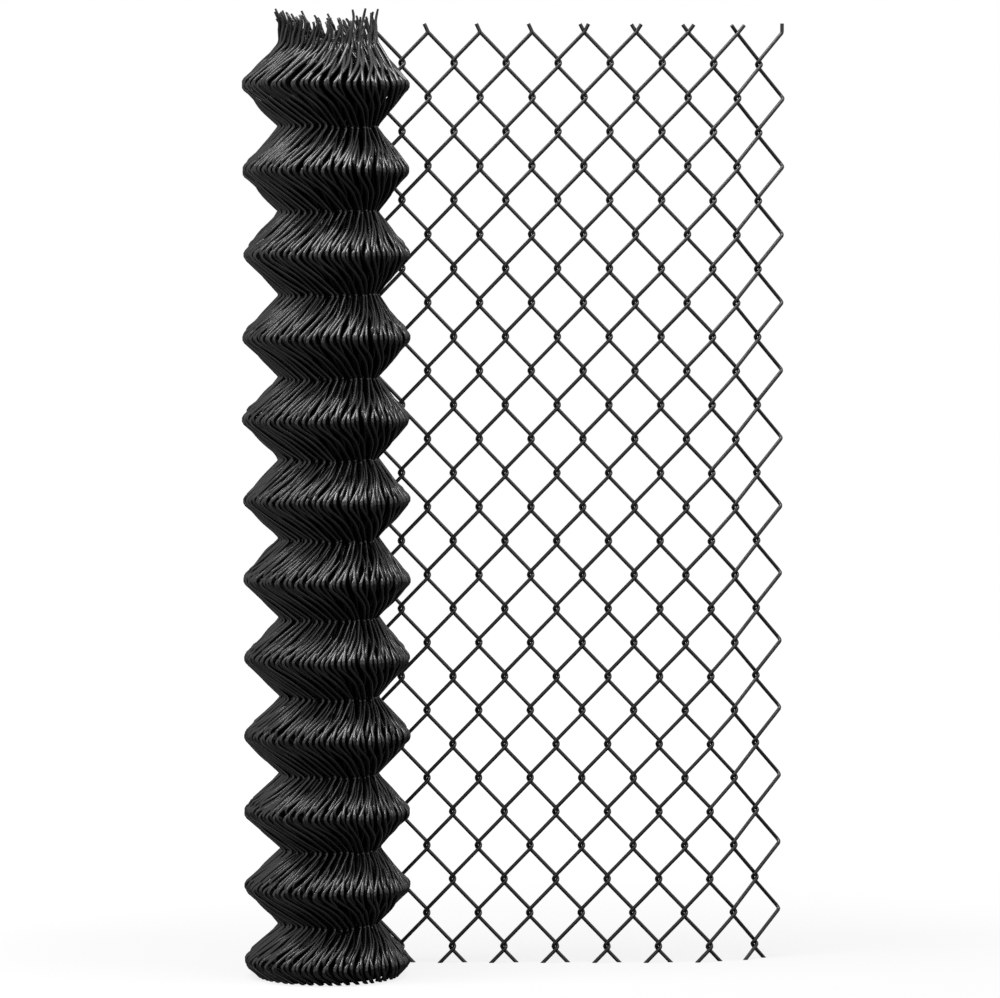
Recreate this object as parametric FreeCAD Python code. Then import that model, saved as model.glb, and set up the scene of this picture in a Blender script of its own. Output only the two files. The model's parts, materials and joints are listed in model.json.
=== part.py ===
"""Partly unrolled roll of black chain-link fence fabric, standing on its cut lower ends.

Millimetres. +X runs along the unrolled fabric to its free edge, +Y lies behind it, +Z is up.
The origin is the bottom centre of the bounding box, on the ground.
"""
import math
import os

import FreeCAD
import Part

Vector = FreeCAD.Vector

# Wire: round coated wire, drawn here as a square bar of the same section area
wire_diameter = 4.9
hook_clearance = 0.3      # between two bends hooked into each other
layer_clearance = 0.5     # between the front and the back legs of the weave
seat_clearance = 0.3      # between the roll's wires and the turns below, and between panel and roll

# Unrolled panel
panel_wires = 17
bends_per_wire = 27
column_spacing = 33.6     # from one column of knuckles to the next
diamond_height = 88.4     # from one knuckle to the next in a column
lowest_knuckle = 21.6     # height of the lowest row of knuckles
bend_drop = 3.9           # height that one bend takes up
free_edge_turns = (8.0, 20.0, 32.0, 30.0)   # degrees that the last wires are turned back

# Cut upper ends of the panel's wires, in pairs
stub_length = 12.0        # past the point where the two wires of a pair cross
together_columns = 8      # up to this column both ends of a pair lean to the left
together_lean = 25.0      # degrees from upright
open_lean = 45.0          # degrees to each side at the last open pair

# Roll
roll_axis_to_column = -25.0   # from the panel's first column of knuckles to the roll's axis, along X
ridge_radius = 104.0          # to the wire's centre at a ridge
groove_radius = 64.0          # to the wire's centre in a groove
fold_turn = 63.0              # degrees between the folds and the radius, clockwise from above
fold_creep = 7.0              # degrees that the folds creep round the roll from a tier to the next
tiers = 11                    # from the lowest ridge to the highest
lowest_ridge = 19.0           # above the cut at the ground
lowest_tier = 94.5            # height of a tier at the foot, where the roll has settled
highest_tier = 109.5          # height of a tier at the head
roll_stub_height = 42.0       # cut ends above the last groove
roll_stub_lean = 8.0          # how far their tips lean inwards, along the folds
quarter_names = ("back", "left", "front", "right")
wires_per_quarter = 7

# Sizes that follow from those above
bar_side = wire_diameter * math.sqrt(math.pi) / 2
bar_reach = bar_side / math.sqrt(2)
hook_overlap = 2 * bar_reach + hook_clearance
weave_depth = 2 * bar_reach + layer_clearance
bend_spacing = diamond_height / 2
ground_trim = 2 * wire_diameter


def swept_bar(points):
    """Square bar with mitred corners along a line of points."""
    start = points[0]
    turn = FreeCAD.Rotation(Vector(0, 0, 1), points[1] - start)
    corners = []
    for step in range(5):
        angle = math.pi / 4 + step * math.pi / 2
        corners.append(start + turn.multVec(Vector(math.cos(angle), math.sin(angle), 0)) * bar_reach)
    return Part.makePolygon(points).makePipeShell([Part.makePolygon(corners)], True, False, 1)


def cut_at_ground(bar):
    """The bar without its end below the ground."""
    reach = 2 * bar.BoundBox.DiagonalLength
    below = Part.makeBox(2 * reach, 2 * reach, reach, Vector(-reach, -reach, -reach))
    return bar.cut(below).Solids[0]


def at_height(start, end, height):
    """Point on the line through start and end at a given height."""
    return start + (end - start) * ((height - start.z) / (end.z - start.z))


def stub_lean(column, to_right):
    """Lean of a cut end from upright, in degrees, positive to the right."""
    if column == panel_wires:
        return 0.0
    if column < together_columns:
        return -together_lean
    opened = (column - together_columns) / (panel_wires - together_columns)
    lean = together_lean + (open_lean - together_lean) * opened
    return lean if to_right else -lean


def woven_wire_points(number):
    """Bends of one panel wire from the ground up: X along the fabric from its left column, Y behind.

    Legs that rise to the right lie in the front layer and legs that rise to the left in the back one,
    so each bend carries the wire from one layer to the other and hooks into its neighbour.
    """
    starts_left = (panel_wires - number) % 2 == 1
    left = -hook_overlap / 2
    right = column_spacing + hook_overlap / 2
    front = -weave_depth / 2
    back = weave_depth / 2

    def bend(index):
        height = lowest_knuckle + index * bend_spacing
        on_left = (index % 2 == 0) == starts_left
        along = left if on_left else right
        layers = (back, front) if on_left else (front, back)
        return [
            Vector(along, layers[0], height - bend_drop / 2),
            Vector(along, layers[1], height + bend_drop / 2),
        ]

    points = []
    for index in range(bends_per_wire):
        points += bend(index)
    points.insert(0, at_height(points[0], bend(-1)[1], -ground_trim))

    # The cut end crosses its pair over the next column and goes on as a short stub
    next_bend = bend(bends_per_wire)[0]
    last_bend = points[-1]
    to_right = next_bend.x > last_bend.x
    column = number + 1 if to_right else number
    crossing_along = column_spacing if to_right else 0.0
    share = (crossing_along - last_bend.x) / (next_bend.x - last_bend.x)
    crossing = last_bend + (next_bend - last_bend) * share
    lean = math.radians(stub_lean(column, to_right))
    points.append(crossing)
    points.append(crossing + Vector(math.sin(lean), 0, math.cos(lean)) * stub_length)
    return points


def panel_columns():
    """Place of the left column and turn of each panel wire, seen from above."""
    place = Vector(0, 0, 0)
    placed = []
    for number in range(panel_wires):
        from_edge = number - (panel_wires - len(free_edge_turns))
        turn = free_edge_turns[from_edge] if from_edge >= 0 else 0.0
        placed.append((place, turn))
        angle = math.radians(turn)
        place = place + Vector(math.cos(angle), math.sin(angle), 0) * column_spacing
    return placed


def panel():
    """All woven wires of the unrolled panel, left to right."""
    wires = []
    for number, (place, turn) in enumerate(panel_columns()):
        wire = cut_at_ground(swept_bar(woven_wire_points(number)))
        wire.rotate(Vector(0, 0, 0), Vector(0, 0, 1), turn)
        wire.translate(place)
        wires.append(wire)
    return wires


def ridge_heights():
    """Heights of the ridges, from the lowest up."""
    heights = [lowest_ridge]
    for tier in range(tiers):
        share = tier / (tiers - 1)
        heights.append(heights[-1] + lowest_tier + (highest_tier - lowest_tier) * share)
    return heights


def groove_heights():
    """Heights of the grooves, one above each ridge."""
    ridges = ridge_heights()
    grooves = [(low + high) / 2 for low, high in zip(ridges, ridges[1:])]
    return grooves + [ridges[-1] + highest_tier / 2]


def fold_at_ground():
    """How far out the lowest fold is where it is cut at the ground: 0 in the groove, 1 at the ridge."""
    return 1 - lowest_ridge / (lowest_tier / 2)


def fold_depth():
    """Length of a fold between the groove and the ridge, seen from above."""
    turn = math.radians(fold_turn)
    aside = groove_radius * math.sin(turn)
    return math.sqrt(ridge_radius ** 2 - aside ** 2) - groove_radius * math.cos(turn)


def fold_outward():
    """Direction of a fold from its groove, which lies on the +X side of the roll's axis."""
    turn = math.radians(-fold_turn)
    return Vector(math.cos(turn), math.sin(turn), 0)


def crept(vector, tier):
    """The vector turned as far as the folds have crept at a tier, counted from half the roll's height."""
    turn = FreeCAD.Rotation(Vector(0, 0, 1), -fold_creep * (tier - tiers / 2))
    return turn.multVec(vector)


def roll_wire():
    """One zigzag wire of the outermost turn, its grooves on the +X side of the roll's axis."""
    groove = Vector(groove_radius, 0, 0)
    ridge = groove + fold_outward() * fold_depth()
    points = []
    for tier, (ridge_height, groove_height) in enumerate(zip(ridge_heights(), groove_heights())):
        points.append(crept(ridge, tier) + Vector(0, 0, ridge_height))
        points.append(crept(groove, tier + 0.5) + Vector(0, 0, groove_height))
    stub = Vector(0, 0, roll_stub_height) - crept(fold_outward(), tiers + 0.5) * roll_stub_lean
    points.append(points[-1] + stub)
    groove_below = crept(groove, -0.5)
    foot = groove_below + (crept(ridge, 0) - groove_below) * fold_at_ground()
    points.insert(0, at_height(points[0], foot, -ground_trim))
    return cut_at_ground(swept_bar(points))


def level_ring(radius, height):
    """Corners of a level polygon with one side for each wire of the outermost turn."""
    sides = wires_per_quarter * len(quarter_names)
    angles = [2 * math.pi * side / sides for side in range(sides)]
    return [Vector(radius * math.cos(angle), radius * math.sin(angle), height) for angle in angles]


def pleated_body(rings):
    """Closed body with flat faces from each ring of corners to the next."""
    faces = [Part.Face(Part.makePolygon(ring + ring[:1])) for ring in (rings[0], rings[-1])]
    for low, high in zip(rings, rings[1:]):
        for side in range(len(low)):
            before = side - 1
            faces.append(Part.Face(Part.makePolygon([low[before], low[side], high[side], high[before], low[before]])))
    return Part.makeSolid(Part.makeShell(faces))


def packed_turns():
    """The turns below the outermost one, wound tight: one pleated body that follows the folds."""
    groove = Vector(groove_radius, 0, 0)
    ridge = groove + fold_outward() * fold_depth()
    half_way = (crept(ridge, 0) + crept(groove, -0.5)) / 2
    sag = (groove_radius + ridge_radius) / 2 - half_way.Length
    slope = math.atan2(ridge_radius - groove_radius, lowest_tier / 2)
    inset = sag + bar_reach / math.cos(slope) + seat_clearance
    foot_radius = groove_radius + (ridge_radius - groove_radius) * fold_at_ground()
    rings = [level_ring(foot_radius - inset, 0)]
    for ridge_height, groove_height in zip(ridge_heights(), groove_heights()):
        rings.append(level_ring(ridge_radius - inset, ridge_height))
        rings.append(level_ring(groove_radius - inset, groove_height))
    return pleated_body(rings)


def outermost_turn():
    """The outermost turn of the roll by quarters, each a group of wires that don't touch."""
    quarters = {}
    pattern = roll_wire()
    step = 90.0 / wires_per_quarter
    for quarter, name in enumerate(quarter_names):
        wires = []
        for place in range(wires_per_quarter):
            wire = pattern.copy()
            wire.rotate(Vector(0, 0, 0), Vector(0, 0, 1), 90.0 + 90.0 * quarter + step * place)
            wires.append(wire)
        quarters["roll_wires_" + name] = Part.makeCompound(wires)
    return quarters


def lay_against(fabric, first_wires, roll):
    """Slide the fabric forward until its first wires rest on the back of the roll."""
    touching = Part.makeCompound(first_wires)
    offset = ridge_radius + 4 * wire_diameter
    gap = offset
    while gap > 2 * seat_clearance:
        trial = touching.translated(Vector(0, offset, 0))
        gap = trial.distToShape(roll)[0]
        offset -= max(gap - seat_clearance, 0)
    for wire in fabric:
        wire.translate(Vector(0, offset, 0))


nodes = {"roll_packed_turns": packed_turns()}
nodes.update(outermost_turn())
for shape in nodes.values():
    shape.translate(Vector(roll_axis_to_column, 0, 0))

fabric = panel()
lay_against(fabric, fabric[:2], Part.makeCompound([nodes["roll_wires_" + name] for name in quarter_names]))
for number, wire in enumerate(fabric, start=1):
    nodes["panel_wire_%02d" % number] = wire

box = Part.makeCompound(list(nodes.values())).BoundBox
os.makedirs("parts", exist_ok=True)
for name, shape in nodes.items():
    shape.translate(Vector(-box.Center.x, -box.Center.y, -box.ZMin))
    shape.exportStep("parts/" + name + ".step")
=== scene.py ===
# %% [markdown]
# # A partly unrolled chain-link fence panel
# Chain-link fabric is woven from zigzag wires, each hooked into the next one. It is sold as a tight,
# folded roll, and here the free end of such a roll stands open as a flat panel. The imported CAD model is
# the frame: everything below sits where its wires are, in metres, and only makes them look like coated
# wire.

# %% Load the frame
import json
import math

import bpy
import bmesh
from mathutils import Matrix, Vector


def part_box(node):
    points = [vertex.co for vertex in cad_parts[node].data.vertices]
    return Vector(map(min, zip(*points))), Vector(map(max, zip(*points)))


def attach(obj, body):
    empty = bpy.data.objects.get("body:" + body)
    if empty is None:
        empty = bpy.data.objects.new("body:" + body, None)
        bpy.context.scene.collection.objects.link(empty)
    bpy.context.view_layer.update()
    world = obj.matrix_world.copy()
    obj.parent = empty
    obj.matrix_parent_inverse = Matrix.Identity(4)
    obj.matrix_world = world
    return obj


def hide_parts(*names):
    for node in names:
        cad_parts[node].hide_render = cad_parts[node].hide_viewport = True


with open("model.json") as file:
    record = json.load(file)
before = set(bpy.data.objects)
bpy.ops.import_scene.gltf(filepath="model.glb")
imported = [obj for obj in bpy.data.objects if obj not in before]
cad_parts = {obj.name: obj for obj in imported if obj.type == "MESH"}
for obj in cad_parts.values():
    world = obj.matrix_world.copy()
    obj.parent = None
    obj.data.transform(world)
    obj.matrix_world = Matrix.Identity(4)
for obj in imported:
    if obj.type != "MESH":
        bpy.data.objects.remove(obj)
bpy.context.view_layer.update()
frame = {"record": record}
scene = bpy.context.scene
mm = 0.001

# %% [markdown]
# ## Camera
# The columns of knuckles on the panel are evenly spaced, so their places in the picture give the view: a
# long lens from more than seven metres away, a little below the top of the fence, that looks slightly
# down. A camera placed by eye would need the same numbers in the end, so they are written here directly.

# %% Set up the camera
camera = bpy.data.objects.new("camera", bpy.data.cameras.new("camera"))
scene.collection.objects.link(camera)
scene.camera = camera
camera.location = (-0.0256, -7.3, 1.1)
look_down = 0.0668
look_right = 0.0007
camera.rotation_euler = (math.pi / 2 - look_down, 0, -look_right)
camera.data.sensor_width = 36
camera.data.lens = 205.13
scene.view_settings.view_transform = "Standard"
print("Camera", round(camera.data.lens), "mm lens,", camera.location.y, "m in front")

# %% [markdown]
# ## Two small helpers
# Node trees are lists of nodes with links between them. One function that adds a node, sets it up and
# links it keeps every later line short. The other turns the sRGB hex colours that people write down into
# the linear values that shaders use.

# %% Helpers for nodes and colours
def add(tree, kind, links=None, **settings):
    """Add a node, set its properties, and link its inputs to sockets or set them to values."""
    node = tree.nodes.new(kind)
    for name, value in settings.items():
        setattr(node, name, value)
    for socket, value in (links or {}).items():
        if isinstance(value, bpy.types.Node):
            value = value.outputs[0]
        if isinstance(value, bpy.types.NodeSocket):
            tree.links.new(value, node.inputs[socket])
        else:
            node.inputs[socket].default_value = value
    return node


def linear(hex_colour):
    """Linear RGBA of an sRGB hex colour."""
    parts = [int(hex_colour[i:i + 2], 16) / 255 for i in (1, 3, 5)]
    return [p / 12.92 if p <= 0.04045 else ((p + 0.055) / 1.055) ** 2.4 for p in parts] + [1.0]


print("Vinyl black in linear values:", [round(v, 4) for v in linear("#18191a")])

# %% [markdown]
# ## Vinyl coating
# The wire is galvanised steel with an extruded coat of black PVC. Extruded vinyl is smooth and hard: thin,
# bright highlights run along the upper sides of the wires, and the rest is nearly black. A clear coat over
# black paint would look much the same, but the vinyl is one thick skin, so a plain dielectric with the IOR
# of PVC is enough. It is never quite even, so one noise a few centimetres wide varies its tone and shine
# (handling and dust), and a fine one gives the slight orange peel of the extrusion.

# %% Vinyl-coated wire
vinyl = bpy.data.materials.new("extruded_black_vinyl")
vinyl.use_nodes = True
tree = vinyl.node_tree
shader = tree.nodes["Principled BSDF"]
shader.inputs["IOR"].default_value = 1.54
shader.inputs["Specular IOR Level"].default_value = 0.5
place = add(tree, "ShaderNodeTexCoord").outputs["Object"]
patch_size = 35 * mm
peel_size = 1.6 * mm     # real orange peel is finer; this is as coarse as it needs to be to show
patches = add(tree, "ShaderNodeTexNoise", {"Vector": place, "Scale": 1 / patch_size, "Detail": 3.0})
peel = add(tree, "ShaderNodeTexNoise", {"Vector": place, "Scale": 1 / peel_size, "Detail": 2.0})
tone = add(tree, "ShaderNodeMix", {0: patches, 6: linear("#18191a"), 7: linear("#28292a")}, data_type="RGBA")
tree.links.new(tone.outputs[2], shader.inputs["Base Color"])
shine = add(tree, "ShaderNodeMapRange", {
    "Value": patches, "From Min": 0.3, "From Max": 0.7, "To Min": 0.18, "To Max": 0.27})
tree.links.new(shine.outputs[0], shader.inputs["Roughness"])
bump = add(tree, "ShaderNodeBump", {"Height": peel, "Strength": 0.06, "Distance": 0.15 * mm})
tree.links.new(bump.outputs[0], shader.inputs["Normal"])
print("Material", vinyl.name)

# %% [markdown]
# ## Cut steel
# Every wire was cut with shears, so its end shows the galvanised steel core inside the black coat. Sheared
# zinc-coated steel is a dull, grey, slightly streaky metal. One flat grey would do at this distance, but a
# fine noise in tone and shine keeps the ends from looking like dots of paint in a close view.

# %% Sheared steel core
steel = bpy.data.materials.new("sheared_galvanised_steel")
steel.use_nodes = True
tree = steel.node_tree
shader = tree.nodes["Principled BSDF"]
shader.inputs["Metallic"].default_value = 1.0
place = add(tree, "ShaderNodeTexCoord").outputs["Object"]
streak_size = 0.8 * mm
streaks = add(tree, "ShaderNodeTexNoise", {"Vector": place, "Scale": 1 / streak_size, "Detail": 2.0})
tone = add(tree, "ShaderNodeMix", {0: streaks, 6: linear("#6a6b6c"), 7: linear("#9a9b9b")}, data_type="RGBA")
tree.links.new(tone.outputs[2], shader.inputs["Base Color"])
dull = add(tree, "ShaderNodeMapRange", {"Value": streaks, "To Min": 0.45, "To Max": 0.7})
tree.links.new(dull.outputs[0], shader.inputs["Roughness"])
print("Material", steel.name)

# %% [markdown]
# ## From a path to a coated wire
# Panel and roll are made of the same wire, so one node group turns any path into it: a circle is swept
# along the path, ends near the ground are slid along the wire until they are cut level with it, and each
# end face gets an inner disc of bare steel. Sweeping with a curve's bevel would also work, but could not
# cut the feet level.

# %% Node group that makes the wire
wire_diameter = 4.9 * mm
core_share = 0.77        # the steel core's diameter against the coated wire's


def new_tree(name, sockets):
    """An empty Geometry Nodes tree with named inputs, and the sockets that give them inside the tree."""
    tree = bpy.data.node_groups.new(name, "GeometryNodeTree")
    for label, kind in sockets:
        tree.interface.new_socket(label, in_out="INPUT", socket_type="NodeSocket" + kind)
    tree.interface.new_socket("Geometry", in_out="OUTPUT", socket_type="NodeSocketGeometry")
    return tree, tree.nodes.new("NodeGroupInput").outputs


MATH = "ShaderNodeMath"
VECTOR = "ShaderNodeVectorMath"

coated_wire, given = new_tree("coated_wire", [
    ("Path", "Geometry"), ("Thinning", "Float"), ("Wire Radius", "Float"), ("Sides", "Int"),
    ("Coat", "Material"), ("Core", "Material"), ("Core Share", "Float"),
])
tree = coated_wire
run = add(tree, "GeometryNodeCaptureAttribute", {0: given["Path"]}, domain="POINT")
run.capture_items.new("VECTOR", "Run")
tree.links.new(add(tree, "GeometryNodeInputTangent").outputs[0], run.inputs["Run"])
ring = add(tree, "GeometryNodeCurvePrimitiveCircle", {
    "Resolution": given["Sides"], "Radius": given["Wire Radius"]})
swept = add(tree, "GeometryNodeCurveToMesh", {
    "Curve": run, "Profile Curve": ring, "Scale": given["Thinning"], "Fill Caps": True})

# What lies lower than the wire's radius slides along the wire until it is level with the ground
height = add(tree, "ShaderNodeSeparateXYZ", {0: add(tree, "GeometryNodeInputPosition")}).outputs[2]
at_foot = add(tree, "FunctionNodeCompare", {0: height, 1: given["Wire Radius"]}, operation="LESS_THAN")
rise = add(tree, "ShaderNodeSeparateXYZ", {0: run.outputs["Run"]}).outputs[2]
steps = add(tree, MATH, {0: height, 1: rise}, operation="DIVIDE")
back = add(tree, MATH, {0: steps, 1: -1.0}, operation="MULTIPLY")
slide = add(tree, VECTOR, {0: run.outputs["Run"], "Scale": back}, operation="SCALE")
level = add(tree, "GeometryNodeSetPosition", {"Geometry": swept, "Selection": at_foot, "Offset": slide})

# The faces with more than four corners are the cut ends: flat, with a disc of bare steel
corners = add(tree, "GeometryNodeInputMeshFaceNeighbors").outputs["Vertex Count"]
is_end = add(tree, "FunctionNodeCompare", {2: corners, 3: 4}, data_type="INT", operation="GREATER_THAN")
coated = add(tree, "GeometryNodeSetMaterial", {"Geometry": level, "Material": given["Coat"]})
is_side = add(tree, "FunctionNodeBooleanMath", {0: is_end}, operation="NOT")
smooth = add(tree, "GeometryNodeSetShadeSmooth", {"Geometry": coated, "Shade Smooth": is_side})
inner = add(tree, "GeometryNodeExtrudeMesh", {
    "Mesh": smooth, "Selection": is_end, "Offset Scale": 0.0, "Individual": True}, mode="FACES")
disc = add(tree, "GeometryNodeScaleElements", {
    "Geometry": inner, "Selection": inner.outputs["Top"], "Scale": given["Core Share"]}, domain="FACE")
bare = add(tree, "GeometryNodeSetMaterial", {
    "Geometry": disc, "Selection": inner.outputs["Top"], "Material": given["Core"]})
add(tree, "NodeGroupOutput", {0: bare})
print("Node group", tree.name, "with", len(tree.nodes), "nodes")

# %% [markdown]
# ## From a tree to a mesh
# A node tree lives in a modifier and makes its shape afresh each time. The finished fence needs plain
# meshes, so this helper runs a tree once on an object, keeps the result as its mesh and takes the modifier
# away. Applying the modifier with an operator would do the same, but depends on what is selected.

# %% Helper that runs a tree
def grow(host, tree, **values):
    """Run a node tree on an object and keep the result as the object's plain mesh."""
    values = dict(values, Wire_Radius=wire_diameter / 2, Coat=vinyl, Core=steel, Core_Share=core_share)
    scene.collection.objects.link(host)
    modifier = host.modifiers.new(tree.name, "NODES")
    modifier.node_group = tree
    for socket in tree.interface.items_tree:
        if socket.in_out == "INPUT" and socket.name.replace(" ", "_") in values:
            modifier[socket.identifier] = values[socket.name.replace(" ", "_")]
    evaluated = host.evaluated_get(bpy.context.evaluated_depsgraph_get())
    mesh = bpy.data.meshes.new_from_object(evaluated)
    mesh.name = host.name
    host.modifiers.clear()
    host.data = mesh
    for name in ("turn", "lean", "starts_right"):
        if name in mesh.attributes:
            mesh.attributes.remove(mesh.attributes[name])
    print(host.name, "has", sum(len(p.vertices) - 2 for p in mesh.polygons), "triangles")
    return host

# %% [markdown]
# ## The weave
# Each panel wire is a flattened spiral: legs that rise to the right lie in front, legs that rise to the
# left lie behind, and every bend carries the wire from one layer to the other round its neighbour's bend.
# That is a rule, so Geometry Nodes draw it: a straight path of numbered points stands on each column, and
# every point's number says which bend it belongs to, on which side and in which layer. Drawing each wire
# by hand would give the same picture, but not one that can be respaced.

# %% Node tree of the woven panel
weave, given = new_tree("woven_panel", [
    ("Columns", "Geometry"), ("Bends", "Int"), ("Column Spacing", "Float"), ("Bend Spacing", "Float"),
    ("Lowest Knuckle", "Float"), ("Bend Drop", "Float"), ("Hook Overlap", "Float"),
    ("Weave Depth", "Float"), ("Stub Length", "Float"), ("Bend Radius", "Float"), ("Sag", "Float"),
    ("Wire Radius", "Float"), ("Sides", "Int"), ("Coat", "Material"), ("Core", "Material"),
    ("Core Share", "Float"),
])
tree = weave
turn = add(tree, "GeometryNodeInputNamedAttribute", {"Name": "turn"})
lean = add(tree, "GeometryNodeInputNamedAttribute", {"Name": "lean"})
starts_right = add(tree, "GeometryNodeInputNamedAttribute", {"Name": "starts_right"})
points_per_bend = 2.0
end_points = 3.0         # the foot, the crossing at the top and the tip of the stub
last_place = add(tree, MATH, {0: given["Bends"], 1: points_per_bend}, operation="MULTIPLY")
count = add(tree, MATH, {0: last_place, 1: end_points}, operation="ADD")
upright = add(tree, "GeometryNodeCurvePrimitiveLine", {"End": (0, 0, 1)})
numbered = add(tree, "GeometryNodeResampleCurve", {"Curve": upright, "Count": count})
stood = add(tree, "GeometryNodeInstanceOnPoints", {"Points": given["Columns"], "Instance": numbered})
paths = add(tree, "GeometryNodeRealizeInstances", {0: stood})
print("Columns of numbered points:", len(tree.nodes), "nodes")

# %% Which bend a point belongs to, on which side, and whether it comes first or second there
number = add(tree, "GeometryNodeSplineParameter").outputs["Index"]
before = add(tree, MATH, {0: number, 1: 1.0}, operation="SUBTRACT")
place = add(tree, MATH, {0: before, 1: last_place}, operation="MINIMUM")
second = add(tree, MATH, {0: place, 1: points_per_bend}, operation="FLOORED_MODULO")
pair = add(tree, MATH, {0: place, 1: second}, operation="SUBTRACT")
bend = add(tree, MATH, {0: pair, 1: points_per_bend}, operation="DIVIDE")
shifted = add(tree, MATH, {0: bend, 1: starts_right}, operation="ADD")
on_right = add(tree, MATH, {0: shifted, 1: 2.0}, operation="FLOORED_MODULO")
side = add(tree, MATH, {0: on_right, 1: 2.0, 2: -1.0}, operation="MULTIPLY_ADD")
later = add(tree, MATH, {0: second, 1: 2.0, 2: -1.0}, operation="MULTIPLY_ADD")
print("Numbers of the bends:", len(tree.nodes), "nodes")

# %% Where that puts it along the fabric, through its thickness and in height
half_hook = add(tree, MATH, {0: given["Hook Overlap"], 1: 0.5}, operation="MULTIPLY")
reach = add(tree, MATH, {0: side, 1: half_hook}, operation="MULTIPLY")
along = add(tree, MATH, {0: on_right, 1: given["Column Spacing"], 2: reach}, operation="MULTIPLY_ADD")
half_depth = add(tree, MATH, {0: given["Weave Depth"], 1: 0.5}, operation="MULTIPLY")
layer = add(tree, MATH, {0: side, 1: later}, operation="MULTIPLY")
depth = add(tree, MATH, {0: layer, 1: half_depth}, operation="MULTIPLY")
row = add(tree, MATH, {
    0: bend, 1: given["Bend Spacing"], 2: given["Lowest Knuckle"]}, operation="MULTIPLY_ADD")
half_drop = add(tree, MATH, {0: given["Bend Drop"], 1: 0.5}, operation="MULTIPLY")
height = add(tree, MATH, {0: later, 1: half_drop, 2: row}, operation="MULTIPLY_ADD")
print("Places of the bends:", len(tree.nodes), "nodes")

# %% Ends: the foot slides up its leg to the ground, the top slides down to where its pair crosses it
is_foot = add(tree, MATH, {0: number, 1: 0.5}, operation="LESS_THAN")
below_top = add(tree, MATH, {0: last_place, 1: 0.5}, operation="SUBTRACT")
above_top = add(tree, MATH, {0: last_place, 1: 0.5}, operation="ADD")
is_top = add(tree, MATH, {0: before, 1: below_top}, operation="GREATER_THAN")
is_tip = add(tree, MATH, {0: before, 1: above_top}, operation="GREATER_THAN")
leg_width = add(tree, MATH, {0: given["Column Spacing"], 1: given["Hook Overlap"]}, operation="ADD")
leg_height = add(tree, MATH, {0: given["Bend Spacing"], 1: given["Bend Drop"]}, operation="SUBTRACT")
slope = add(tree, MATH, {0: leg_height, 1: leg_width}, operation="DIVIDE")
foot_slide = add(tree, MATH, {0: height, 1: is_foot}, operation="MULTIPLY")
top_fall = add(tree, MATH, {0: slope, 1: half_hook}, operation="MULTIPLY")
top_slide = add(tree, MATH, {0: top_fall, 1: is_top}, operation="MULTIPLY")
slide = add(tree, MATH, {0: foot_slide, 1: top_slide}, operation="ADD")
size = add(tree, MATH, {0: slide}, operation="ABSOLUTE")
across = add(tree, MATH, {0: size, 1: slope}, operation="DIVIDE")
inward = add(tree, MATH, {0: across, 1: side}, operation="MULTIPLY")
along = add(tree, MATH, {0: along, 1: inward}, operation="SUBTRACT")
height = add(tree, MATH, {0: height, 1: slide}, operation="SUBTRACT")
stub = add(tree, MATH, {0: given["Stub Length"], 1: is_tip}, operation="MULTIPLY")
sideways = add(tree, MATH, {0: lean}, operation="SINE")
upwards = add(tree, MATH, {0: lean}, operation="COSINE")
along = add(tree, MATH, {0: stub, 1: sideways, 2: along}, operation="MULTIPLY_ADD")
height = add(tree, MATH, {0: stub, 1: upwards, 2: height}, operation="MULTIPLY_ADD")
print("Cut ends:", len(tree.nodes), "nodes")

# %% Lean the panel, turn each point with its column, round the bends and make the wire
corners_per_bend = 4
along = add(tree, MATH, {0: height, 1: given["Sag"], 2: along}, operation="MULTIPLY_ADD")
local = add(tree, "ShaderNodeCombineXYZ", {0: along, 1: depth, 2: height})
turned = add(tree, "ShaderNodeVectorRotate", {"Vector": local, "Angle": turn}, rotation_type="Z_AXIS")
foot = add(tree, VECTOR, {0: add(tree, "GeometryNodeInputPosition"), 1: (1, 1, 0)}, operation="MULTIPLY")
spot = add(tree, VECTOR, {0: foot, 1: turned}, operation="ADD")
woven = add(tree, "GeometryNodeSetPosition", {"Geometry": paths, "Position": spot})
rounded = add(tree, "GeometryNodeFilletCurve", {
    "Curve": woven, "Count": corners_per_bend, "Radius": given["Bend Radius"], "Limit Radius": True,
}, mode="POLY")
made = add(tree, "GeometryNodeGroup", node_tree=coated_wire)
for name in ("Wire Radius", "Sides", "Coat", "Core", "Core Share"):
    tree.links.new(given[name], made.inputs[name])
made.inputs["Thinning"].default_value = 1.0
tree.links.new(rounded.outputs[0], made.inputs["Path"])
real = add(tree, "GeometryNodeRealizeInstances", {0: made})
add(tree, "NodeGroupOutput", {0: real})
print("Node tree", tree.name, "with", len(tree.nodes), "nodes")

# %% [markdown]
# ## The panel
# Seventeen columns stand in a row behind the roll. The last four turn backwards, because the fabric
# remembers the curl of the roll. At the top the two ends that meet on a column cross and go on as short
# stubs: on the left both lean to the left, towards the free edge they open to a V. An Array modifier could
# repeat one wire, but not turn or lean each on its own. So the columns are points of a small mesh, and
# each point carries its turn and lean.

# %% Place of the panel
panel_wires = 17
column_spacing = 33.6 * mm
axis_to_column = 25 * mm      # from the roll's axis to the first column
axis = frame["record"]["mounts"][0]["pos_m"]      # the roll's axis, on the ground
first_column = axis[0] + axis_to_column
panel_low, panel_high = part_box("panel_wire_05")
panel_plane = (panel_low.y + panel_high.y) / 2
print("Panel from x =", round(first_column / mm, 1), "mm, at y =", round(panel_plane / mm, 1), "mm")

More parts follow.
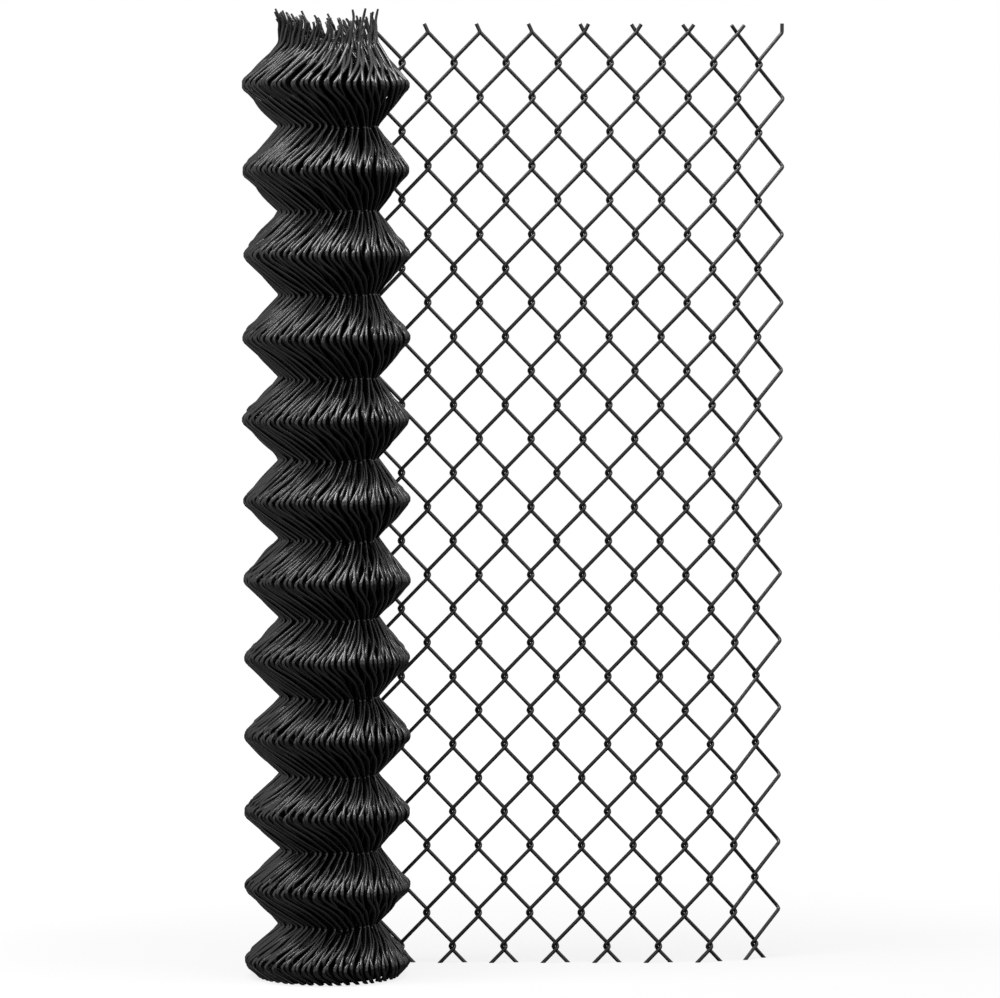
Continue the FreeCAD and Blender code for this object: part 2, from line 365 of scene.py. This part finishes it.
# %% Stand the columns
free_edge_turns = (8, 20, 32, 30)    # degrees that the last wires turn back
together_columns = 8                 # up to this column both stubs of a pair lean to the left
together_lean = 25                   # degrees from upright
open_lean = 45                       # degrees to each side at the last open pair
columns = bmesh.new()
turns = []
leans = []
starts = []
x, y = first_column, panel_plane
for number in range(panel_wires):
    from_edge = number - (panel_wires - len(free_edge_turns))
    turn = math.radians(free_edge_turns[from_edge]) if from_edge >= 0 else 0.0
    starts_right = (panel_wires - number) % 2 == 0
    column = number if starts_right else number + 1
    opened = max(column - together_columns, -1) / (panel_wires - together_columns)
    lean = together_lean + (open_lean - together_lean) * max(opened, 0)
    lean = -lean if opened < 0 or starts_right else lean
    columns.verts.new((x, y, 0))
    turns.append(turn)
    leans.append(math.radians(0 if column == panel_wires else lean))
    starts.append(1.0 if starts_right else 0.0)
    x += math.cos(turn) * column_spacing
    y += math.sin(turn) * column_spacing
column_mesh = bpy.data.meshes.new("columns")
columns.to_mesh(column_mesh)
columns.free()
for name, values in (("turn", turns), ("lean", leans), ("starts_right", starts)):
    column_mesh.attributes.new(name, "FLOAT", "POINT").data.foreach_set("value", values)
print("Columns:", len(column_mesh.vertices))

# %% Weave the panel
panel = grow(
    bpy.data.objects.new("woven_panel", column_mesh), weave,
    Bends=27, Column_Spacing=column_spacing, Bend_Spacing=44.2 * mm, Lowest_Knuckle=21.6 * mm,
    Bend_Drop=3.9 * mm, Hook_Overlap=5.3 * mm, Weave_Depth=5.3 * mm, Stub_Length=12 * mm,
    Bend_Radius=4.6 * mm, Sag=0.0025, Sides=10,
)
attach(panel, "root")
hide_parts(*["panel_wire_%02d" % number for number in range(1, panel_wires + 1)])

# %% [markdown]
# ## A turn of the roll
# Rolled up and pressed, the fabric folds at every row of bends, so each wire runs in and out in one zigzag
# from the ground to the top. The folds lie at a slant to the radius, as the blades of a pinwheel do.
# Bending the flat panel round a cylinder would not fold it. The second node tree therefore lays one turn
# of such wires round the axis: a point's number gives its place in the zigzag, from a ridge (whole
# numbers) to a groove (halves).

# %% Node tree of one rolled turn
rolled, given = new_tree("rolled_turn", [
    ("Wires", "Int"), ("Axis", "Vector"), ("First Tier", "Float"), ("Tiers", "Float"),
    ("Lowest Ridge", "Float"), ("Tier Height", "Float"), ("Tier Growth", "Float"),
    ("Groove Radius", "Float"), ("Ridge Radius", "Float"), ("Fold Turn", "Float"), ("Creep", "Float"),
    ("Phase", "Float"), ("Ridge Bend", "Float"), ("Groove Bend", "Float"), ("Crossing Height", "Float"),
    ("Stub Length", "Float"), ("Groove Aside", "Float"), ("Groove Raise", "Float"), ("Bunching", "Float"),
    ("Unevenness", "Float"), ("Seed", "Int"), ("Wire Radius", "Float"), ("Sides", "Int"),
    ("Coat", "Material"), ("Core", "Material"), ("Core Share", "Float"),
])
tree = rolled
points_per_tier = 4.0
end_points = 3.0         # past the last groove: half way to the crossing, the crossing and the tip
top_groove = add(tree, MATH, {0: given["Tiers"], 1: 0.5}, operation="ADD")
span = add(tree, MATH, {0: top_groove, 1: given["First Tier"]}, operation="SUBTRACT")
count = add(tree, MATH, {0: span, 1: points_per_tier, 2: end_points + 1}, operation="MULTIPLY_ADD")
upright = add(tree, "GeometryNodeCurvePrimitiveLine", {"End": (0, 0, 1)})
numbered = add(tree, "GeometryNodeResampleCurve", {"Curve": upright, "Count": count})
spots = add(tree, "GeometryNodePoints", {"Count": given["Wires"]})
stood = add(tree, "GeometryNodeInstanceOnPoints", {"Points": spots, "Instance": numbered})
paths = add(tree, "GeometryNodeRealizeInstances", {0: stood})
print("Wires of numbered points:", len(tree.nodes), "nodes")

# %% Place of a point in the zigzag, and its share of the way out from groove to ridge
which = add(tree, "GeometryNodeCurveOfPoint")
wire = which.outputs["Curve Index"]
number = which.outputs["Index in Curve"]
climbed = add(tree, MATH, {
    0: number, 1: 1 / points_per_tier, 2: given["First Tier"]}, operation="MULTIPLY_ADD")
ground = add(tree, MATH, {0: given["Lowest Ridge"], 1: given["Tier Height"]}, operation="DIVIDE")
ground = add(tree, MATH, {0: ground, 1: -1.0}, operation="MULTIPLY")
tier = add(tree, MATH, {0: climbed, 1: top_groove}, operation="MINIMUM")
tier = add(tree, MATH, {0: tier, 1: ground}, operation="MAXIMUM")
past = add(tree, MATH, {0: climbed, 1: top_groove}, operation="SUBTRACT")
past = add(tree, MATH, {0: past, 1: 0.0}, operation="MAXIMUM")
tip = add(tree, MATH, {0: past, 1: points_per_tier}, operation="MULTIPLY")
wave = add(tree, MATH, {0: tier, 1: 0.5}, operation="PINGPONG")
out = add(tree, MATH, {0: wave, 1: -2.0, 2: 1.0}, operation="MULTIPLY_ADD")
print("Places in the zigzag:", len(tree.nodes), "nodes")

# %% [markdown]
# ### Heights and cut ends
# The tiers are a little taller towards the top, because the roll has settled at its foot. Above the last
# groove two neighbours lean towards each other, cross, and end in two stubs that lean back together. Free
# of the rest, the wires there also sink a little, each to its own height. The tips could be placed one by
# one, but seeded random values give the same mix of long and short ones and stay the same in every run.

# %% Height of a point
stub_shares = (0.25, 1.15)         # shortest and longest stub against Stub Length
shorter_neighbour = 0.2            # by how much of it the second stub of a pair is shorter
stub_rise = 0.75                   # height of a stub against its length
head_sink = 9 * mm                 # sinking of the free head, for each tier above the last ridge
neck = 0.45                        # share of a tier above the last ridge where the neck starts
neck_play = (-7 * mm, 4 * mm)      # lowest and highest place of a wire's neck
growing = add(tree, MATH, {
    0: tier, 1: given["Tier Growth"], 2: given["Tier Height"]}, operation="MULTIPLY_ADD")
height = add(tree, MATH, {0: tier, 1: growing, 2: given["Lowest Ridge"]}, operation="MULTIPLY_ADD")
step = add(tree, MATH, {0: given["Crossing Height"], 1: 2.0}, operation="DIVIDE")
climb = add(tree, MATH, {0: tip, 1: 2.0}, operation="MINIMUM")
height = add(tree, MATH, {0: climb, 1: step, 2: height}, operation="MULTIPLY_ADD")
last = add(tree, MATH, {0: tip, 1: 2.5}, operation="GREATER_THAN")
odd = add(tree, MATH, {0: wire, 1: 2.0}, operation="FLOORED_MODULO")
pair = add(tree, MATH, {0: wire, 1: odd}, operation="SUBTRACT")
length = add(tree, "FunctionNodeRandomValue", {
    2: stub_shares[0], 3: stub_shares[1], "ID": pair, "Seed": given["Seed"]}).outputs[1]
length = add(tree, MATH, {0: odd, 1: -shorter_neighbour, 2: length}, operation="MULTIPLY_ADD")
stub = add(tree, MATH, {0: given["Stub Length"], 1: last}, operation="MULTIPLY")
stub = add(tree, MATH, {0: stub, 1: length}, operation="MULTIPLY")
height = add(tree, MATH, {0: stub, 1: stub_rise, 2: height}, operation="MULTIPLY_ADD")
free_head = add(tree, MATH, {0: tier, 1: given["Tiers"]}, operation="SUBTRACT")
free_head = add(tree, MATH, {0: free_head, 1: 0.0}, operation="MAXIMUM")
height = add(tree, MATH, {0: free_head, 1: -head_sink, 2: height}, operation="MULTIPLY_ADD")
at_neck = add(tree, MATH, {0: free_head, 1: neck}, operation="GREATER_THAN")
loose = add(tree, "FunctionNodeRandomValue", {
    2: neck_play[0], 3: neck_play[1], "ID": wire, "Seed": given["Seed"]}).outputs[1]
height = add(tree, MATH, {0: at_neck, 1: loose, 2: height}, operation="MULTIPLY_ADD")
print("Heights:", len(tree.nodes), "nodes")

# %% How far the two neighbours of a pair lean together, and to which side
head_drift = 3.5 * mm              # that all heads lean to one side, at each of two steps up
crossing_depth = 1.2 * mm          # half of what one of a pair moves inwards, at each step
sign = add(tree, MATH, {0: odd, 1: -2.0, 2: 1.0}, operation="MULTIPLY_ADD")
spacing = add(tree, MATH, {0: given["Groove Radius"], 1: given["Wires"]}, operation="DIVIDE")
pairing = add(tree, MATH, {0: spacing, 1: sign}, operation="MULTIPLY")
to_right = add(tree, MATH, {0: pairing, 1: math.pi / 2, 2: head_drift}, operation="MULTIPLY_ADD")
to_right = add(tree, MATH, {0: to_right, 1: climb}, operation="MULTIPLY")
outwards = add(tree, MATH, {0: sign, 1: crossing_depth, 2: -crossing_depth}, operation="MULTIPLY_ADD")
outwards = add(tree, MATH, {0: outwards, 1: climb}, operation="MULTIPLY")
print("Pairs:", len(tree.nodes), "nodes")

# %% Out from the axis by the fold, and round it by the wire's place, the slant and the creep
place_play = 0.2                   # that a wire lies off its even place, in spacings
fold = add(tree, MATH, {0: given["Ridge Radius"], 1: given["Groove Radius"]}, operation="SUBTRACT")
radius = add(tree, MATH, {0: fold, 1: out, 2: given["Groove Radius"]}, operation="MULTIPLY_ADD")
radius = add(tree, MATH, {0: radius, 1: outwards}, operation="ADD")
spoke = add(tree, "ShaderNodeCombineXYZ", {0: radius, 1: to_right, 2: height})
jitter = add(tree, "FunctionNodeRandomValue", {
    2: -place_play, 3: place_play, "ID": wire, "Seed": given["Seed"]}).outputs[1]
turn = add(tree, MATH, {0: wire, 1: jitter}, operation="ADD")
turn = add(tree, MATH, {0: turn, 1: given["Phase"]}, operation="ADD")
share = add(tree, MATH, {0: turn, 1: given["Wires"]}, operation="DIVIDE")
angle = add(tree, MATH, {0: share, 1: 2 * math.pi}, operation="MULTIPLY")
slant = add(tree, MATH, {0: out, 1: given["Fold Turn"]}, operation="MULTIPLY")
angle = add(tree, MATH, {0: angle, 1: slant}, operation="SUBTRACT")
crept = add(tree, MATH, {0: tier, 1: given["Creep"]}, operation="MULTIPLY")
angle = add(tree, MATH, {0: angle, 1: crept}, operation="SUBTRACT")
around = add(tree, "ShaderNodeVectorRotate", {"Vector": spoke, "Angle": angle}, rotation_type="Z_AXIS")
print("Round the axis:", len(tree.nodes), "nodes")

# %% Lean the stubs to the left, and shift the grooves a little aside and up
stub_leans = (-0.85, -0.3)         # widest and narrowest reach of a stub to the left, against its length
less_at_right = 0.6                # by how much less the stubs lean at the right side of the roll
beside = add(tree, "ShaderNodeSeparateXYZ", {0: around}).outputs[0]
beside = add(tree, MATH, {0: beside, 1: given["Groove Radius"]}, operation="DIVIDE")
beside = add(tree, MATH, {0: beside, 1: 0.0}, operation="MAXIMUM")
flick = add(tree, "FunctionNodeRandomValue", {
    2: stub_leans[0], 3: stub_leans[1], "ID": wire, "Seed": given["Seed"]}).outputs[1]
flick = add(tree, MATH, {0: beside, 1: less_at_right, 2: flick}, operation="MULTIPLY_ADD")
inward = add(tree, MATH, {0: out, 1: -1.0, 2: 1.0}, operation="MULTIPLY_ADD")
aside = add(tree, MATH, {0: inward, 1: given["Groove Aside"]}, operation="MULTIPLY")
aside = add(tree, MATH, {0: flick, 1: stub, 2: aside}, operation="MULTIPLY_ADD")
raised = add(tree, MATH, {0: inward, 1: given["Groove Raise"]}, operation="MULTIPLY")
shift = add(tree, "ShaderNodeCombineXYZ", {0: aside, 2: raised})
leaning = add(tree, VECTOR, {0: around, 1: shift}, operation="ADD")
spot = add(tree, VECTOR, {0: leaning, 1: given["Axis"]}, operation="ADD")
laid = add(tree, "GeometryNodeSetPosition", {"Geometry": paths, "Position": spot})
print("Laid wires:", len(tree.nodes), "nodes")

# %% [markdown]
# ### Bunches and bends
# No roll is wound evenly. A noise that neighbours share makes bunches and gaps, and a random value at each
# point gives each wire bends of its own. Noise alone would move all wires together, and random values
# alone would look like a shaken drawing. At the ground nothing moves, so that the roll stands flat. Then
# the corners are rounded: wide on the ridges, tighter in the grooves, and with a long bow between them.

# %% Disturb the wires
bunch_size = 45 * mm
still_height = 2 * mm              # up to which nothing moves
seen = add(tree, "GeometryNodeInputPosition")
bunches = add(tree, "ShaderNodeTexNoise", {"Vector": seen, "Scale": 1 / bunch_size, "Detail": 1.0})
centred = add(tree, VECTOR, {0: bunches.outputs["Color"], 1: (-0.5, -0.5, -0.5)}, operation="ADD")
bunched = add(tree, VECTOR, {0: centred, "Scale": given["Bunching"]}, operation="SCALE")
point = add(tree, "GeometryNodeInputIndex")
own = add(tree, "FunctionNodeRandomValue", {
    0: (-1, -1, -1), 1: (1, 1, 1), "ID": point, "Seed": given["Seed"]}, data_type="FLOAT_VECTOR")
single = add(tree, VECTOR, {0: own.outputs[0], "Scale": given["Unevenness"]}, operation="SCALE")
both = add(tree, VECTOR, {0: bunched, 1: single}, operation="ADD")
above = add(tree, "ShaderNodeSeparateXYZ", {0: seen}).outputs[2]
free = add(tree, "FunctionNodeCompare", {0: above, 1: still_height}, operation="GREATER_THAN")
uneven = add(tree, "GeometryNodeSetPosition", {"Geometry": laid, "Selection": free, "Offset": both})
print("Disturbed wires:", len(tree.nodes), "nodes")

# %% Round the corners, thin the cut ends and make the wire
leg_bow = 120 * mm                 # twice what the bend radius gains half way between groove and ridge
neck_bow = 14 * mm                 # what it gains at the neck
tip_thinning = 0.15                # at each point of a cut end
corners_per_bend = 3
thin = add(tree, MATH, {0: tip, 1: -tip_thinning, 2: 1.0}, operation="MULTIPLY_ADD")
kept = add(tree, "GeometryNodeCaptureAttribute", {0: uneven}, domain="POINT")
kept.capture_items.new("FLOAT", "Thin")
tree.links.new(thin.outputs[0], kept.inputs["Thin"])
bend = add(tree, "ShaderNodeMix", {0: out, 2: given["Groove Bend"], 3: given["Ridge Bend"]})
half_way = add(tree, MATH, {0: out, 1: 0.5}, operation="PINGPONG")
bend = add(tree, MATH, {0: half_way, 1: leg_bow, 2: bend}, operation="MULTIPLY_ADD")
bend = add(tree, MATH, {0: at_neck, 1: neck_bow, 2: bend}, operation="MULTIPLY_ADD")
rounded = add(tree, "GeometryNodeFilletCurve", {
    "Curve": kept, "Count": corners_per_bend, "Radius": bend, "Limit Radius": True}, mode="POLY")
made = add(tree, "GeometryNodeGroup", {
    "Path": rounded, "Thinning": kept.outputs["Thin"]}, node_tree=coated_wire)
for name in ("Wire Radius", "Sides", "Coat", "Core", "Core Share"):
    tree.links.new(given[name], made.inputs[name])
real = add(tree, "GeometryNodeRealizeInstances", {0: made})
add(tree, "NodeGroupOutput", {0: real})
print("Node tree", tree.name, "with", len(tree.nodes), "nodes")

# %% [markdown]
# ## The roll
# The three outer turns run from the ground to the top, because one can see between their wires. The second
# one lies behind the outer wires in the grooves and comes out between them at the ridges, and the third
# lies deeper and a little higher. Further in only the heads of the wires show, so the inner turns start at
# the last groove. One spiral of wires would be truer, but separate turns can each be set where they show.

# %% Sizes of the roll
tiers = 11
lowest_ridge = 19 * mm
lowest_tier = 95.5 * mm
highest_tier = 108.5 * mm
tier_growth = (highest_tier - lowest_tier) / (tiers - 1) / 2
fold_turn = math.radians(30)  # round the axis from a groove to a ridge
fold_creep = math.radians(7)  # from one tier to the next
ridge_radius = 107.2 * mm     # corner of the zigzag before its bend is rounded
groove_radius = 60.5 * mm
below_ridge = -0.25           # place in the zigzag where a turn that stands on the ground starts
print("Tiers of", round(lowest_tier / mm, 1), "to", round(highest_tier / mm, 1), "mm")


# %% Helper that winds one turn
def wind(name, wires, crossing, stub, seed, ridge_inset=0.0, groove_inset=0.0, lift=0.0, slant=0,
         uneven=1.8 * mm, first_tier=below_ridge, last_tier=tiers, sides=6):
    """One turn of the roll, laid deeper than the outermost one, lifted and slanted by given amounts."""
    return grow(
        bpy.data.objects.new(name, bpy.data.meshes.new(name)), rolled,
        Wires=wires, Axis=axis, First_Tier=first_tier, Tiers=last_tier, Lowest_Ridge=lowest_ridge + lift,
        Tier_Height=lowest_tier - tier_growth, Tier_Growth=tier_growth,
        Groove_Radius=groove_radius - groove_inset, Ridge_Radius=ridge_radius - ridge_inset,
        Fold_Turn=fold_turn + math.radians(slant), Creep=fold_creep, Phase=seed * 0.5,
        Ridge_Bend=6 * mm, Groove_Bend=4 * mm, Groove_Aside=2.6 * mm, Groove_Raise=2.5 * mm,
        Crossing_Height=crossing, Stub_Length=stub, Bunching=6 * mm, Unevenness=uneven,
        Seed=seed, Sides=sides,
    )


# %% Wind the three outer turns
wires_per_turn = 46
outer_turn = wind("roll_outer_turn", wires_per_turn, crossing=30 * mm, stub=16 * mm, seed=4, sides=8)
second_turn = wind(
    "roll_second_turn", wires_per_turn, crossing=22 * mm, stub=10 * mm, seed=12,
    ridge_inset=0.5 * mm, groove_inset=8 * mm, lift=2 * mm, slant=-11.7,
)
third_turn = wind(
    "roll_third_turn", wires_per_turn, crossing=14 * mm, stub=10 * mm, seed=18,
    ridge_inset=6 * mm, groove_inset=12 * mm, lift=9 * mm, uneven=3 * mm, last_tier=tiers - 1,
)

# %% Wind the heads of the inner turns
head_spacing = 12 * mm
inner_turns = []
for number, deeper in enumerate((20 * mm, 33 * mm, 46 * mm)):
    wires = 2 * round(math.pi * (groove_radius - deeper) / head_spacing)
    inner_turns.append(wind(
        "roll_inner_turn_%d" % (number + 1), wires, crossing=10 * mm, stub=8 * mm, seed=30 + number,
        ridge_inset=deeper, groove_inset=deeper, uneven=2 * mm, first_tier=tiers + 0.25,
    ))

# %% [markdown]
# ## Packed core
# What is left inside the roll is a mass of wire that one hardly sees: black between black wires. Winding
# it wire by wire would cost many triangles for nothing. A pleated body, turned on the axis, stands for it
# and keeps light from falling through the roll. Its colour is painted shade: a flat black, darker than the
# vinyl and without its shine, for wire that lies in the shade of the outer turns.

# %% Turn the core
shade = bpy.data.materials.new("packed_wire_in_shade")
shade.use_nodes = True
shader = shade.node_tree.nodes["Principled BSDF"]
# Painted shade: a flat black darker than the vinyl coat, with no shine
shader.inputs["Base Color"].default_value = linear("#0c0c0c")
shader.inputs["Roughness"].default_value = 0.9
shader.inputs["Specular IOR Level"].default_value = 0.0
core_inset = 18 * mm
core_sides = 48
rings_per_tier = 4
core_shape = bmesh.new()
rings = []
for step in range(-1, rings_per_tier * tiers + 2):
    tier = max(step / rings_per_tier, -lowest_ridge / lowest_tier)
    height = lowest_ridge + tier * (lowest_tier - tier_growth + tier * tier_growth)
    out = 1 - 2 * abs(tier - round(tier))
    radius = groove_radius + (ridge_radius - groove_radius) * out - core_inset
    height = max(height, 0)
    ring = []
    for side in range(core_sides):
        angle = 2 * math.pi * side / core_sides
        corner = (axis[0] + radius * math.cos(angle), axis[1] + radius * math.sin(angle), height)
        ring.append(core_shape.verts.new(corner))
    rings.append(ring)
for low, high in zip(rings, rings[1:]):
    for side in range(core_sides):
        core_shape.faces.new((low[side - 1], low[side], high[side], high[side - 1]))
core_shape.faces.new(reversed(rings[0]))
core_shape.faces.new(rings[-1])
bmesh.ops.recalc_face_normals(core_shape, faces=core_shape.faces)
core_mesh = bpy.data.meshes.new("roll_core")
core_shape.to_mesh(core_mesh)
core_shape.free()
core_mesh.materials.append(shade)
roll_core = bpy.data.objects.new("roll_core", core_mesh)
scene.collection.objects.link(roll_core)
print("Core of", len(core_mesh.polygons), "faces")

# %% Put the roll on the frame
for piece in [outer_turn, second_turn, third_turn, roll_core] + inner_turns:
    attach(piece, "root")
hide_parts("roll_wires_back", "roll_wires_left", "roll_wires_front", "roll_wires_right")
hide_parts("roll_packed_turns")
print("The roll has", 4 + len(inner_turns), "pieces")

# %% [markdown]
# ## Floor and background
# The fence stands on a plain pale floor in a white room. A photographer's white sweep would need so much
# light that black wire turns grey, so the floor and the room are lifted to white only where the camera
# sees them, and partly in reflections. The floor is lifted more further out, where it meets the white room
# without a line, and keeps its shadow near the fence. The glossy wires mirror the floor mainly in front.

# %% What a ray sees of the background
def background_rays(tree, in_reflections):
    """Share of the white background in a ray: all for the camera and through glass, less in reflections."""
    path = add(tree, "ShaderNodeLightPath")
    camera_ray = path.outputs["Is Camera Ray"]
    seen = add(tree, MATH, {0: camera_ray, 1: path.outputs["Is Transmission Ray"]}, operation="MAXIMUM")
    mirrored = add(tree, MATH, {0: path.outputs["Is Glossy Ray"], 1: in_reflections}, operation="MULTIPLY")
    return add(tree, MATH, {0: seen, 1: mirrored}, operation="MAXIMUM")


# %% Floor
floor_radius = 6.0
floor_shape = bmesh.new()
bmesh.ops.create_circle(floor_shape, cap_ends=True, segments=64, radius=floor_radius)
floor_mesh = bpy.data.meshes.new("floor")
floor_shape.to_mesh(floor_mesh)
floor_shape.free()
floor = bpy.data.objects.new("floor", floor_mesh)
scene.collection.objects.link(floor)
print("Floor of", floor_radius, "m")

# %% Pale floor paper
mirrored_in_front = 0.15      # share of the white floor that reflections show
mirrored_behind = 0.03
near_lift = 0.84              # how far the floor is lifted to white close to the fence
paper = bpy.data.materials.new("pale_floor")
paper.use_nodes = True
tree = paper.node_tree
shader = tree.nodes["Principled BSDF"]
shader.inputs["Base Color"].default_value = linear("#787878")
shader.inputs["Roughness"].default_value = 0.9
shader.inputs["Specular IOR Level"].default_value = 0.0
place = add(tree, "ShaderNodeTexCoord").outputs["Object"]
behind = add(tree, "ShaderNodeSeparateXYZ", {0: place}).outputs[1]
in_front = add(tree, "ShaderNodeMapRange", {
    "Value": behind, "From Min": -0.8, "From Max": -0.2,
    "To Min": mirrored_in_front, "To Max": mirrored_behind})
shown = background_rays(tree, in_front)
away = add(tree, VECTOR, {0: place}, operation="LENGTH").outputs["Value"]
lift = add(tree, "ShaderNodeMapRange", {
    "Value": away, "From Min": 0.6, "From Max": 2.0, "To Min": near_lift, "To Max": 1.0})
lift = add(tree, MATH, {0: shown, 1: lift}, operation="MULTIPLY")
glow = add(tree, "ShaderNodeEmission", {"Strength": lift})
lit = add(tree, "ShaderNodeAddShader", {0: shader, 1: glow})
tree.links.new(lit.outputs[0], tree.nodes["Material Output"].inputs["Surface"])
floor_mesh.materials.append(paper)
print("Material", paper.name)

# %% [markdown]
# ## White room
# The room gives an even, weak light from all sides. In reflections it is white overhead and in front,
# where a studio has its lamps and white cards, and dimmer behind the fence. A picture of a real room would
# show more in the gloss, but wire this thin only shows where it is bright and where it is not.

# %% Room
room_light = 0.06
room_behind = 0.3
up_and_front = (0.0, -1.0, 1.0)
world = bpy.data.worlds.new("white_room")
scene.world = world
world.use_nodes = True
tree = world.node_tree
direction = add(tree, "ShaderNodeTexCoord").outputs["Generated"]
facing = add(tree, VECTOR, {0: direction, 1: up_and_front}, operation="DOT_PRODUCT").outputs[1]
wall = add(tree, "ShaderNodeMapRange", {
    "Value": facing, "From Min": -0.6, "From Max": 0.6, "To Min": room_behind, "To Max": 1.0})
shown = background_rays(tree, wall)
glow = add(tree, "ShaderNodeMapRange", {"Value": shown, "To Min": room_light, "To Max": 1.0})
room = tree.nodes["Background"]
room.inputs["Color"].default_value = linear("#ffffff")
tree.links.new(glow.outputs[0], room.inputs["Strength"])
print("World", world.name)

# %% [markdown]
# ## Lamps
# One long soft light hangs overhead and reaches far to the left, and a small one hangs at the upper right.
# Both hang a little in front, so that the upper sides of the wires shine and their undersides stay dark.
# Small spots would give hard shadows, and light from all round would take the shape out of the folds.

# %% Softboxes
box_width = 0.6
for name, place, tilt, length, watts in (
    ("softbox_overhead", (-1.0, -0.65, 3.3), (12, 0), 3.8, 104),
    ("softbox_upper_right", (2.6, -0.8, 3.3), (12, 45), 1.0, 18),
):
    lamp = bpy.data.objects.new(name, bpy.data.lights.new(name, "AREA"))
    lamp.data.shape = "RECTANGLE"
    lamp.data.size = length
    lamp.data.size_y = box_width
    lamp.data.energy = watts
    lamp.location = place
    lamp.rotation_euler = (math.radians(tilt[0]), math.radians(tilt[1]), 0)
    scene.collection.objects.link(lamp)
    print("Lamp", name, "of", watts, "W")
